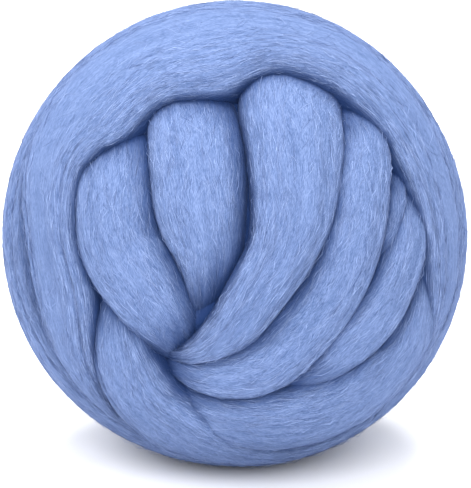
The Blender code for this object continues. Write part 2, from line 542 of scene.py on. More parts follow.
class Sections(NamedTuple):
    """A strand's cross sections, one a row.

    Each has its direction from the ball's centre, the direction of its left side, its
    half width, the depth of its top, the radius of its widest level, and the share of
    its full size that it has, under 1 where the strand's ends close.
    """

    directions: np.ndarray
    sides: np.ndarray
    half_widths: np.ndarray
    depths: np.ndarray
    waists: np.ndarray
    shares: np.ndarray


@dataclass
class StrandSurface:
    """The skin of one strand as a grid of points, rows along it and columns round it.

    The first top_columns of its columns lie on top, and the others on its underside.
    """

    # An open skin is read up to this many rows from its end, just inside its last span.
    LAST_SPAN = 1.001

    path: StrandPath
    points: np.ndarray
    normals: np.ndarray
    along: np.ndarray
    round_about: np.ndarray
    top_columns: int

    def at(self, rows: np.ndarray, columns: np.ndarray) -> tuple[np.ndarray, np.ndarray]:
        """Points and normals between the grid's own.

        Args:
            rows: places along the strand, in rows and parts of a row.
            columns: places round it, in columns and parts of a column.

        Returns:
            The points and the normals, one a row.
        """
        count, around = self.points.shape[:2]
        if not self.path.closed:
            rows = np.clip(rows, 0, count - self.LAST_SPAN)
        low = np.floor(rows).astype(int) % count
        high = (low + 1) % count
        left = np.floor(columns).astype(int) % around
        right = (left + 1) % around
        row_share = (rows - np.floor(rows))[..., None]
        column_share = (columns - np.floor(columns))[..., None]
        found = []
        for grid in (self.points, self.normals):
            first = grid[low, left] * (1 - column_share) + grid[low, right] * column_share
            second = grid[high, left] * (1 - column_share) + grid[high, right] * column_share
            found.append(first * (1 - row_share) + second * row_share)
        return found[0], unit(found[1])


@dataclass
class FoldDepth:
    """How deep places lie in the folds between the strands.

    The strands' outer surface is read into cells round the ball, and evened out. A place
    has two depths: the near one is under the surface evened over a short reach, and the
    far one is under the mean of the surfaces evened over two longer reaches. The wool
    reads both to paint shade into the folds.
    """

    # How many cells lie outside the ball's radius, how many rows or columns of a skin lie
    # between two readings, and how many reaches away a cell still counts.
    MARGIN_CELLS = 6
    READ_STEP = 0.5
    REACHES_OUT = 3

    form: BallForm
    heights: tuple[np.ndarray, ...]
    cell: float
    corner: float

    @classmethod
    def between(
        cls,
        form: BallForm,
        surfaces: Sequence[StrandSurface],
        cell: float = 1.25 * MM,
        reaches: Sequence[Sequence[float]] = ((1.1 * MM,), (6.0 * MM, 16.0 * MM)),
    ) -> "FoldDepth":
        """The depths between the strands.

        Args:
            form: the ball's sizes.
            surfaces: the skins of all the strands.
            cell: the size of a cell.
            reaches: how far the outer surface is evened out, for each of the two depths.

        Returns:
            The depths, ready to be read at any place.
        """
        corner = form.radius + cls.MARGIN_CELLS * cell
        count = math.ceil(2 * corner / cell)
        heights = np.zeros((count, count, count))
        for surface in surfaces:
            rows, columns = surface.points.shape[:2]
            row, column = np.meshgrid(
                np.arange(0, rows, cls.READ_STEP),
                np.arange(0, columns, cls.READ_STEP),
                indexing="ij",
            )
            offsets = surface.at(row.ravel(), column.ravel())[0] - form.centre()
            lengths = np.linalg.norm(offsets, axis=1)
            places = offsets / lengths[:, None] * form.radius
            cells = np.round((places + corner) / cell).astype(int)
            np.maximum.at(heights, tuple(cells.T), lengths)
        known = (heights > 0).astype(float)
        means = []
        for together in reaches:
            total = sum(
                cls.evened(heights, reach / cell)
                / np.maximum(cls.evened(known, reach / cell), TINY)
                for reach in together
            )
            means.append(total / len(together))
        return cls(form, tuple(means), cell, corner)

    @classmethod
    def evened(cls, grid: np.ndarray, reach: float) -> np.ndarray:
        """The grid evened out along its three axes.

        Args:
            grid: a value for each cell.
            reach: how far a cell spreads, in cells.

        Returns:
            The evened grid.
        """
        span = math.ceil(cls.REACHES_OUT * reach)
        for axis in range(3):
            grid = sum(
                math.exp(-0.5 * (shift / reach) ** 2) * np.roll(grid, shift, axis=axis)
                for shift in range(-span, span + 1)
            )
        return grid

    def at(self, points: np.ndarray) -> np.ndarray:
        """The two depths of places in or on the ball.

        Args:
            points: the places, with x, y, z last.

        Returns:
            The near and the far depth of each in metres, under 0 where it stands proud.
        """
        offsets = points - self.form.centre()
        lengths = np.linalg.norm(offsets, axis=-1)
        places = (offsets / lengths[..., None] * self.form.radius + self.corner) / self.cell
        low = np.floor(places).astype(int)
        shares = places - low
        depths = np.tile(-lengths[..., None], len(self.heights))
        for turn in np.ndindex(2, 2, 2):
            weight = np.prod(np.where(turn, shares, 1 - shares), axis=-1)
            cells = tuple(np.moveaxis(low + turn, -1, 0))
            for column, heights in enumerate(self.heights):
                depths[..., column] += weight * heights[cells]
        return depths


@dataclass
class StrandBuilder:
    """Lofts strands over the ball, with lengthwise folds in their skins.

    step and column_width are the sizes of the skin's faces. twist is how far the folds
    drift across an open strand for each millimetre along it. edge_drop is how much
    longer a strand's top is, measured round it, than it is wide. tip_share is how large
    the last ring of a closing end is, and crease_width how far a crease spreads, both as
    shares. Each strand has seed_step seeds for its folds. Its bake map keeps bake_margin
    free all round, and the strand's ends have spots of radius cap_spot in it.
    """

    form: BallForm
    step: float = 1.2 * MM
    column_width: float = 0.85 * MM
    fewest_columns: int = 20
    under_columns: int = 10
    cap_rings: int = 7
    tip_share: float = 0.04
    edge_drop: float = 8.0 * MM
    twist: float = 0.06
    seed_step: int = 17
    reliefs: tuple[Relief, ...] = (
        Relief(along=95.0, across=9.0, height=0.55),
        Relief(along=55.0, across=4.5, height=0.22),
        Relief(along=30.0, across=2.4, height=0.09),
    )
    crease: Relief = Relief(along=120.0, across=13.0, height=0.85, sharp=True)
    crease_width: float = 0.18
    bake_margin: float = 0.01
    cap_spot: float = 0.004

    def surface(self, path: StrandPath, seed: int) -> StrandSurface:
        """Loft the skin of a strand.

        Args:
            path: where the strand lies.
            seed: the strand's number, which its folds come from.

        Returns:
            The folded skin, flattened where it rests on the floor.
        """
        path = path.resampled(self.form, self.step)
        directions, sides, half_widths, depths, waists, shares = self.sections(path)
        top_length = 2 * float(half_widths.max()) + self.edge_drop
        top_columns = max(self.fewest_columns, round(top_length / self.column_width))
        angles = np.concatenate((
            np.linspace(0, math.pi, top_columns, endpoint=False),
            np.linspace(math.pi, 2 * math.pi, self.under_columns, endpoint=False),
        ))
        power = 2 / path.roundness
        across = np.sign(np.cos(angles)) * np.abs(np.cos(angles)) ** power
        height = np.sign(np.sin(angles)) * np.abs(np.sin(angles)) ** power
        bend = across[None, :] * (half_widths * shares)[:, None] / self.form.radius
        over = np.where(height > 0, depths[:, None], self.form.under_depth)
        rise = height[None, :] * over + across[None, :] * path.tilt
        reach = waists[:, None] + rise * shares[:, None]
        points = reach[..., None] * (
            np.cos(bend)[..., None] * directions[:, None, :]
            + np.sin(bend)[..., None] * sides[:, None, :]
        )
        points += self.form.centre()
        along = np.arange(len(points)) * self.step
        gaps = np.linalg.norm(np.diff(points, axis=1), axis=2).max(axis=0)
        round_about = np.concatenate(((0.0,), np.cumsum(gaps)))
        normals = grid_normals(points, path.closed)
        relief = self.relief(path, along, round_about, seed) * shares[:, None]
        points = points + normals * relief[..., None]
        points[..., 2] = np.maximum(points[..., 2], 0.0)
        normals = grid_normals(points, path.closed)
        return StrandSurface(path, points, normals, along, round_about, top_columns)

    def sections(self, path: StrandPath) -> Sections:
        """The cross sections along a path.

        Args:
            path: where the strand lies, its samples an even step apart.

        Returns:
            The sections. An open path gets rings past each end that close to a point.
        """
        directions, half_widths, lifts = path.directions, path.half_widths, path.lifts
        shares = np.ones(len(directions))
        if path.closed:
            ahead, behind = np.roll(directions, -1, axis=0), np.roll(directions, 1, axis=0)
            tangents = ahead - behind
        else:
            steps = np.linspace(0, 1, self.cap_rings + 1)[1:]
            closing = np.maximum(1 - steps**path.roundness, 0) ** (1 / path.roundness)
            closing[-1] = self.tip_share
            head = self.beyond(directions[0], directions[1], half_widths[0], steps)[::-1]
            tail = self.beyond(directions[-1], directions[-2], half_widths[-1], steps)
            directions = np.vstack((head, directions, tail))
            half_widths = np.pad(half_widths, self.cap_rings, mode="edge")
            lifts = np.pad(lifts, self.cap_rings, mode="edge")
            shares = np.concatenate((closing[::-1], shares, closing))
            tangents = np.gradient(directions, axis=0)
        sides = unit(np.cross(directions, tangents))
        depths = self.form.depths(half_widths)
        waists = self.form.radius + lifts - depths
        return Sections(directions, sides, half_widths, depths, waists, shares)

    def beyond(
        self, end: np.ndarray, before: np.ndarray, half_width: float, steps: np.ndarray
    ) -> np.ndarray:
        """Directions that carry on past the end of a path.

        Args:
            end: the path's last direction.
            before: the direction before it.
            half_width: how far past the end they reach.
            steps: shares of that reach.

        Returns:
            A direction for each step.
        """
        ahead = unit(end - before - end * np.dot(end, end - before))
        angles = (steps * half_width / self.form.radius)[:, None]
        return np.cos(angles) * end + np.sin(angles) * ahead

    def relief(
        self, path: StrandPath, along: np.ndarray, round_about: np.ndarray, seed: int
    ) -> np.ndarray:
        """How far the folds raise or lower a strand's skin.

        Args:
            path: where the strand lies.
            along: how far along the strand each row is.
            round_about: how far round it each column is.
            seed: the strand's number.

        Returns:
            The rise of each point.
        """
        along = along[:, None] / MM + 0 * round_about[None, :]
        across = round_about[None, :] / MM + (0 if path.closed else self.twist) * along
        total = np.zeros(along.shape)
        length = path.length(self.form) / MM
        for number, relief in enumerate((*self.reliefs, self.crease)):
            noise = LatticeNoise(seed * self.seed_step + number)
            # Round a closed strand the folds repeat after a whole number of steps.
            steps = max(noise.FEWEST_STEPS, round(length / relief.along))
            period = steps if path.closed else 0
            long_step = length / period if period else relief.along
            value = noise(along / long_step, across / relief.across, period)
            if relief.sharp:
                depth = relief.height * path.creasing
                total -= depth * np.exp(-((value / self.crease_width) ** 2))
            else:
                total += relief.height * value
        return total * MM

    def mesh_parts(self, surface: StrandSurface, folds: FoldDepth) -> MeshParts:
        """The mesh of a strand's skin.

        Args:
            surface: the skin.
            folds: how deep its points lie between the strands.

        Returns:
            The mesh, its ends closed, with maps of the strand, the fold depths that set its
            painted shade, and the bake.
        """
        rows, columns = surface.points.shape[:2]
        closed = surface.path.closed
        corners, corner_rows, corner_columns = grid_corners(
            rows, columns, closed_rows=closed, closed_columns=True
        )
        spans = rows if closed else rows - 1
        sizes = np.full(spans * columns, 4)
        lengths = np.append(surface.along, surface.along[-1] + self.step) / MM
        widths = np.append(surface.round_about, surface.round_about[-1] + self.column_width) / MM
        strand_map = np.column_stack((lengths[corner_rows], widths[corner_columns]))
        places = np.column_stack((corner_rows / spans, corner_columns / columns))
        bake_map = self.bake_margin + (1 - 2 * self.bake_margin) * places
        if not closed:
            ring = np.arange(columns)
            corners = np.concatenate((corners, ring[::-1], (rows - 1) * columns + ring))
            sizes = np.concatenate((sizes, (columns, columns)))
            turns = np.linspace(0, 2 * math.pi, columns, endpoint=False)
            spot = self.cap_spot * np.column_stack((np.cos(turns), np.sin(turns)))
            middle = self.bake_margin / 2
            for end, share in ((0, middle), (rows - 1, 1 - middle)):
                cap = np.tile((lengths[end], 0.0), (columns, 1))
                strand_map = np.vstack((strand_map, cap))
                bake_map = np.vstack((bake_map, spot + (share, 0.5)))
        points = surface.points.reshape(-1, 3)
        # The fold depths, by which the wool paints shade into the folds.
        fold_shade_map = (folds.at(points) / MM)[corners]
        uv_maps = {"strand_uv": strand_map, "fold_uv": fold_shade_map, "OFBake": bake_map}
        return MeshParts(points, corners, sizes, uv_maps)


# --------------------------------------------------------------------------------------
# Finishes


def linear(hex_colour: str) -> tuple[float, float, float, float]:
    """Turn an sRGB colour to linear.

    Args:
        hex_colour: the colour as six hex digits, such as "8FA9E3".

    Returns:
        Its linear red, green and blue, and an alpha of 1.
    """
    shares = [int(hex_colour[place:place + 2], 16) / 255 for place in (0, 2, 4)]
    red, green, blue = (
        share / 12.92 if share <= 0.04045 else ((share + 0.055) / 1.055) ** 2.4
        for share in shares
    )
    return red, green, blue, 1.0


def new_material(name: str) -> bpy.types.Material:
    """A material of that name with no nodes in it yet.

    Args:
        name: the material's name.

    Returns:
        The material.
    """
    material = bpy.data.materials.new(name)
    material.use_nodes = True
    material.node_tree.nodes.clear()
    return material


def add_node(
    tree: bpy.types.NodeTree,
    kind: str,
    settings: dict[str, Any] | None = None,
    inputs: dict[str, Any] | Sequence[Any] = (),
) -> bpy.types.Node:
    """Add a node with its settings and links.

    Args:
        tree: the node tree that it joins.
        kind: Blender's name for the node's type.
        settings: the node's own properties by name.
        inputs: a value, or an output socket to link, for each input, by name or in order.

    Returns:
        The new node.
    """
    node = tree.nodes.new(kind)
    for name, value in (settings or {}).items():
        setattr(node, name, value)
    for place, value in inputs.items() if isinstance(inputs, dict) else enumerate(inputs):
        if isinstance(value, bpy.types.NodeSocket):
            tree.links.new(value, node.inputs[place])
        else:
            node.inputs[place].default_value = value
    return node


@dataclass(frozen=True)
class FibreStreak:
    """One layer of fibre streaks, its sizes in millimetres.

    lean is how far the fibres drift across the strand for each millimetre along it, and
    share is how much of the tone the layer gives.
    """

    along: float
    across: float
    lean: float
    share: float


@dataclass(frozen=True)
class CombedMerino:
    """Merino wool, combed into roving and dyed, with no twist.

    It gives the eye fine lengthwise streaks of lit and shaded fibres on a dull, soft
    surface, which glows a little where light passes into it. Merino fibres are about
    0.02 mm thick, too fine to show, so the streaks are drawn as bundles 0.3 mm wide.

    Lengths are in millimetres. The wool is all shaded_fibres up to the tone shaded_tone,
    and all lit_fibres from lit_tone on. The fibres crimp by crimp_width every
    crimp_length, as merino does, and wander by wander_width over wander_length. The folds
    between strands get painted shade: near_shade_fade and far_shade_fade are the depths at
    which it takes most of the colour, turning it to fold_shade_colour.
    """

    name: str = "merino_wool_combed"
    lit_fibres: str = "66779D"
    shaded_fibres: str = "3E5177"
    lit_tone: float = 0.72
    shaded_tone: float = 0.44
    streaks: tuple[FibreStreak, ...] = (
        FibreStreak(along=4.6, across=0.28, lean=0.04, share=0.48),
        FibreStreak(along=1.2, across=0.26, lean=-0.20, share=0.46),
        FibreStreak(along=30.0, across=2.2, lean=0.0, share=0.22),
    )
    streak_detail: float = 2.0
    streak_roughness: float = 0.55
    crimp_length: float = 4.5
    crimp_width: float = 0.12
    wander_length: float = 24.0
    wander_across: float = 8.0
    wander_width: float = 0.8
    bump_height: float = 0.10
    roughness: float = 0.85
    fibre_ior: float = 1.55
    gloss: float = 0.1
    sheen: float = 0.18
    sheen_roughness: float = 0.40
    sheen_tint: str = "8AA2DC"
    glow: float = 0.10
    glow_depth: float = 2.0
    # Painted shade in the folds between strands, and the dark colour that it fades to.
    near_shade_fade: float = 1.0
    far_shade_fade: float = 2.6
    fold_shade_colour: str = "162B55"

    def material(self) -> bpy.types.Material:
        """The wool's material.

        Returns:
            The material, patterned in millimetres along and across a strand.
        """
        material = new_material(self.name)
        tree = material.node_tree
        place = add_node(tree, "ShaderNodeUVMap", {"uv_map": "strand_uv"}).outputs["UV"]
        axes = add_node(tree, "ShaderNodeSeparateXYZ", inputs=[place])
        along = axes.outputs["X"]
        across = self.wavy(tree, place, along, axes.outputs["Y"])
        tone = 0.0
        for streak in self.streaks:
            layer = self.layer(tree, streak, along, across)
            tone = add_node(
                tree, "ShaderNodeMath", {"operation": "MULTIPLY_ADD"}, [layer, streak.share, tone]
            ).outputs[0]
        ramp = add_node(tree, "ShaderNodeValToRGB", inputs={"Fac": tone})
        low, high = ramp.color_ramp.elements
        low.position, high.position = self.shaded_tone, self.lit_tone
        low.color, high.color = linear(self.shaded_fibres), linear(self.lit_fibres)
        self.shade(tree, ramp.outputs["Color"], tone)
        return material

    def wavy(
        self,
        tree: bpy.types.NodeTree,
        place: bpy.types.NodeSocket,
        along: bpy.types.NodeSocket,
        across: bpy.types.NodeSocket,
    ) -> bpy.types.NodeSocket:
        """The place across a strand, shifted so that fibres wander and crimp.

        Args:
            tree: the wool's node tree.
            place: the place on the strand's skin.
            along: its part along the strand.
            across: its part across the strand.

        Returns:
            The shifted place across.
        """
        scale = (1 / self.wander_length, 1 / self.wander_across, 1.0)
        stretched = add_node(tree, "ShaderNodeMapping", inputs={"Vector": place, "Scale": scale})
        wander = add_node(
            tree, "ShaderNodeTexNoise", {"noise_dimensions": "2D"},
            {"Vector": stretched.outputs["Vector"], "Scale": 1.0, "Detail": 1.0},
        )
        shift = add_node(
            tree, "ShaderNodeMath", {"operation": "MULTIPLY"},
            [wander.outputs["Fac"], 2 * self.wander_width],
        ).outputs[0]
        phase = add_node(
            tree, "ShaderNodeMath", {"operation": "MULTIPLY_ADD"},
            [along, 2 * math.pi / self.crimp_length, shift],
        )
        crimp = add_node(tree, "ShaderNodeMath", {"operation": "SINE"}, [phase.outputs[0]])
        shifted = add_node(tree, "ShaderNodeMath", {"operation": "ADD"}, [across, shift])
        return add_node(
            tree, "ShaderNodeMath", {"operation": "MULTIPLY_ADD"},
            [crimp.outputs[0], self.crimp_width, shifted.outputs[0]],
        ).outputs[0]

    def layer(
        self,
        tree: bpy.types.NodeTree,
        streak: FibreStreak,
        along: bpy.types.NodeSocket,
        across: bpy.types.NodeSocket,
    ) -> bpy.types.NodeSocket:
        """One layer of streaks.

        Args:
            tree: the wool's node tree.
            streak: the layer's sizes.
            along: the place along the strand.
            across: the place across it.

        Returns:
            Its tone, from 0 to 1.
        """
        leaning = add_node(
            tree, "ShaderNodeMath", {"operation": "MULTIPLY_ADD"}, [along, streak.lean, across]
        )
        sizes = ((along, streak.along), (leaning.outputs[0], streak.across))
        steps = [
            add_node(tree, "ShaderNodeMath", {"operation": "DIVIDE"}, pair).outputs[0]
            for pair in sizes
        ]
        vector = add_node(tree, "ShaderNodeCombineXYZ", inputs=steps).outputs["Vector"]
        noise = add_node(
            tree, "ShaderNodeTexNoise", {"noise_dimensions": "2D"},
            {
                "Vector": vector,
                "Scale": 1.0,
                "Detail": self.streak_detail,
                "Roughness": self.streak_roughness,
            },
        )
        return noise.outputs["Fac"]

    def painted_fold_shade(
        self, tree: bpy.types.NodeTree, colour: bpy.types.NodeSocket
    ) -> bpy.types.NodeSocket:
        """The colour with painted shade in the folds, darker the deeper a place lies.

        Args:
            tree: the wool's node tree.
            colour: the colour on top of the strands.

        Returns:
            The colour with its painted fold shade.
        """
        place = add_node(tree, "ShaderNodeUVMap", {"uv_map": "fold_uv"})
        axes = add_node(tree, "ShaderNodeSeparateXYZ", inputs=[place.outputs["UV"]])
        # Painted shade: the deeper a place lies in a fold, the more its colour turns to the dark
        # fold colour.
        shade_exponent = 0.0
        for axis, fade in (("X", self.near_shade_fade), ("Y", self.far_shade_fade)):
            depth = add_node(
                tree, "ShaderNodeMath", {"operation": "MAXIMUM"}, [axes.outputs[axis], 0.0]
            )
            shade_exponent = add_node(
                tree, "ShaderNodeMath", {"operation": "MULTIPLY_ADD"},
                [depth.outputs[0], -1 / fade, shade_exponent],
            ).outputs[0]
        unshaded_share = add_node(tree, "ShaderNodeMath", {"operation": "EXPONENT"}, [shade_exponent])
        mixed = add_node(
            tree, "ShaderNodeMixRGB",
            inputs=[unshaded_share.outputs[0], linear(self.fold_shade_colour), colour],
        )
        return mixed.outputs["Color"]

    def shade(
        self, tree: bpy.types.NodeTree, colour: bpy.types.NodeSocket, height: bpy.types.NodeSocket
    ) -> None:
        """Finish the material with painted shade in the folds and the wool's gloss, sheen and glow.

        Args:
            tree: the wool's node tree.
            colour: the colour on top of the strands.
            height: how far the fibres stand up, from 0 to 1.
        """
        bump = add_node(
            tree, "ShaderNodeBump", inputs={"Height": height, "Distance": self.bump_height * MM}
        )
        shader = add_node(
            tree,
            "ShaderNodeBsdfPrincipled",
            inputs={
                "Base Color": self.painted_fold_shade(tree, colour),
                "Normal": bump.outputs["Normal"],
                "Roughness": self.roughness,
                "IOR": self.fibre_ior,
                "Specular IOR Level": self.gloss,
                "Sheen Weight": self.sheen,
                "Sheen Roughness": self.sheen_roughness,
                "Sheen Tint": linear(self.sheen_tint),
                "Subsurface Weight": self.glow,
                "Subsurface Radius": (1.0, 1.0, 1.0),
                "Subsurface Scale": self.glow_depth * MM,
            },
        )
        add_node(tree, "ShaderNodeOutputMaterial", inputs={"Surface": shader.outputs["BSDF"]})


@dataclass(frozen=True)
class LooseMerino(CombedMerino):
    """Single fibres of the same wool that lie loose on its surface.

    They catch more light than the bundles under them, so they read as fine pale and dark
    hairs. Each fibre has a tone of its own, and scales that roughen it along its length.
    """

    name: str = "merino_wool_loose"
    lit_fibres: str = "8294BC"
    shaded_fibres: str = "2F4069"
    bump_height: float = 0.02
    scale_steps: float = 2.0
    glow: float = 0.0

    def material(self) -> bpy.types.Material:
        """The loose fibres' material.

        Returns:
            The material, with one tone for each fibre.
        """
        material = new_material(self.name)
        tree = material.node_tree
        place = add_node(tree, "ShaderNodeUVMap", {"uv_map": "fibre_uv"}).outputs["UV"]
        axes = add_node(tree, "ShaderNodeSeparateXYZ", inputs=[place])
        tone = add_node(
            tree, "ShaderNodeTexWhiteNoise", {"noise_dimensions": "1D"}, {"W": axes.outputs["X"]}
        )
        ramp = add_node(tree, "ShaderNodeValToRGB", inputs={"Fac": tone.outputs["Value"]})
        low, high = ramp.color_ramp.elements
        low.color, high.color = linear(self.shaded_fibres), linear(self.lit_fibres)
        scales = add_node(
            tree, "ShaderNodeTexNoise", {"noise_dimensions": "2D"},
            {"Vector": place, "Scale": self.scale_steps},
        )
        self.shade(tree, ramp.outputs["Color"], scales.outputs["Fac"])
        return material


@dataclass(frozen=True)
class PaintedFloor:
    """A matt white painted floor, evenly pale, with only a trace of roller texture.

    grain is the size of that texture and bump_height its height, in millimetres.
    """

    name: str = "matt_white_paint"
    colour: str = "F4F4F6"
    roughness: float = 0.9
    gloss: float = 0.1
    grain: float = 1.5
    bump_height: float = 0.01

    def material(self) -> bpy.types.Material:
        """The paint's material.

        Returns:
            The material.
        """
        material = new_material(self.name)
        tree = material.node_tree
        place = add_node(tree, "ShaderNodeTexCoord")
        noise = add_node(
            tree, "ShaderNodeTexNoise",
            inputs={"Vector": place.outputs["Object"], "Scale": 1 / (self.grain * MM)},
        )
        bump = add_node(
            tree, "ShaderNodeBump",
            inputs={"Height": noise.outputs["Fac"], "Distance": self.bump_height * MM},
        )
        shader = add_node(
            tree,
            "ShaderNodeBsdfPrincipled",
            inputs={
                "Base Color": linear(self.colour),
                "Roughness": self.roughness,
                "Specular IOR Level": self.gloss,
                "Normal": bump.outputs["Normal"],
            },
        )
        add_node(tree, "ShaderNodeOutputMaterial", inputs={"Surface": shader.outputs["BSDF"]})
        return material


# --------------------------------------------------------------------------------------
# Sub-assemblies


@dataclass
class WoundStrands:
    """The roving's strands, wound over the ball."""

    form: BallForm
    builder: StrandBuilder
    surfaces: list[StrandSurface]
    folds: FoldDepth

    @classmethod
    def wound(cls, form: BallForm) -> "WoundStrands":
        """Wind the strands of both sides and both rims.

        Args:
            form: the ball's sizes.

        Returns:
            The strands, with the folds between them.
        """
        builder = StrandBuilder(form)
        paths = [StrandPath.of_strand(form, plan, side) for side in Side for plan in STRANDS]
        paths += [StrandPath.of_rim(form, plan) for plan in RIMS]
        surfaces = [builder.surface(path, seed) for seed, path in enumerate(paths)]
        return cls(form, builder, surfaces, FoldDepth.between(form, surfaces))

    def pieces(self, wool: bpy.types.Material) -> list[bpy.types.Object]:
        """Build and dress the strands.

        Args:
            wool: their finish.

        Returns:
            A piece for each strand.
        """
        made = []
        for surface in self.surfaces:
            parts = self.builder.mesh_parts(surface, self.folds)
            made.append(parts.to_object(f"strand_{surface.path.name}", wool))
        return made


@dataclass
class WoundCore:
    """The earlier winding under the strands, seen only between them.

    pole_gap is how far from its poles its first and last rings lie, in radians, and
    floor_gap is how far it stays over the floor.
    """

    form: BallForm
    folds: FoldDepth
    rings: int = 90
    spokes: int = 140
    pole_gap: float = 0.02
    floor_gap: float = 0.5 * MM
    fold: Relief = Relief(along=14.0, across=14.0, height=1.4)
    seed: int = 401

    def pieces(self, wool: bpy.types.Material) -> list[bpy.types.Object]:
        """Build and dress the core.

        Args:
            wool: its finish.

        Returns:
            The core, as the one piece of a list.
        """
        tilt = np.linspace(self.pole_gap, math.pi - self.pole_gap, self.rings)
        turn = np.linspace(0, 2 * math.pi, self.spokes, endpoint=False)
        tilts, turns = np.meshgrid(tilt, turn, indexing="ij")
        directions = np.stack(
            (np.sin(tilts) * np.cos(turns), np.sin(tilts) * np.sin(turns), np.cos(tilts)), axis=-1
        )
        noise = LatticeNoise(self.seed)
        radius = self.form.radius - self.form.core_depth
        steps = max(noise.FEWEST_STEPS, round(2 * math.pi * radius / MM / self.fold.along))
        waves = noise(turns / (2 * math.pi) * steps, tilts * radius / MM / self.fold.across, steps)
        reach = radius + waves * self.fold.height * MM
        points = self.form.centre() + directions * reach[..., None]
        points[..., 2] = np.maximum(points[..., 2], self.floor_gap)
        path = StrandPath("core", directions[:, 0], np.ones(1), np.ones(1), 0.0, False, 0.0)
        surface = StrandSurface(path, points, directions, tilt * radius, turn * radius, self.spokes)
        parts = StrandBuilder(self.form).mesh_parts(surface, self.folds)
        return [parts.to_object("wound_core", wool)]


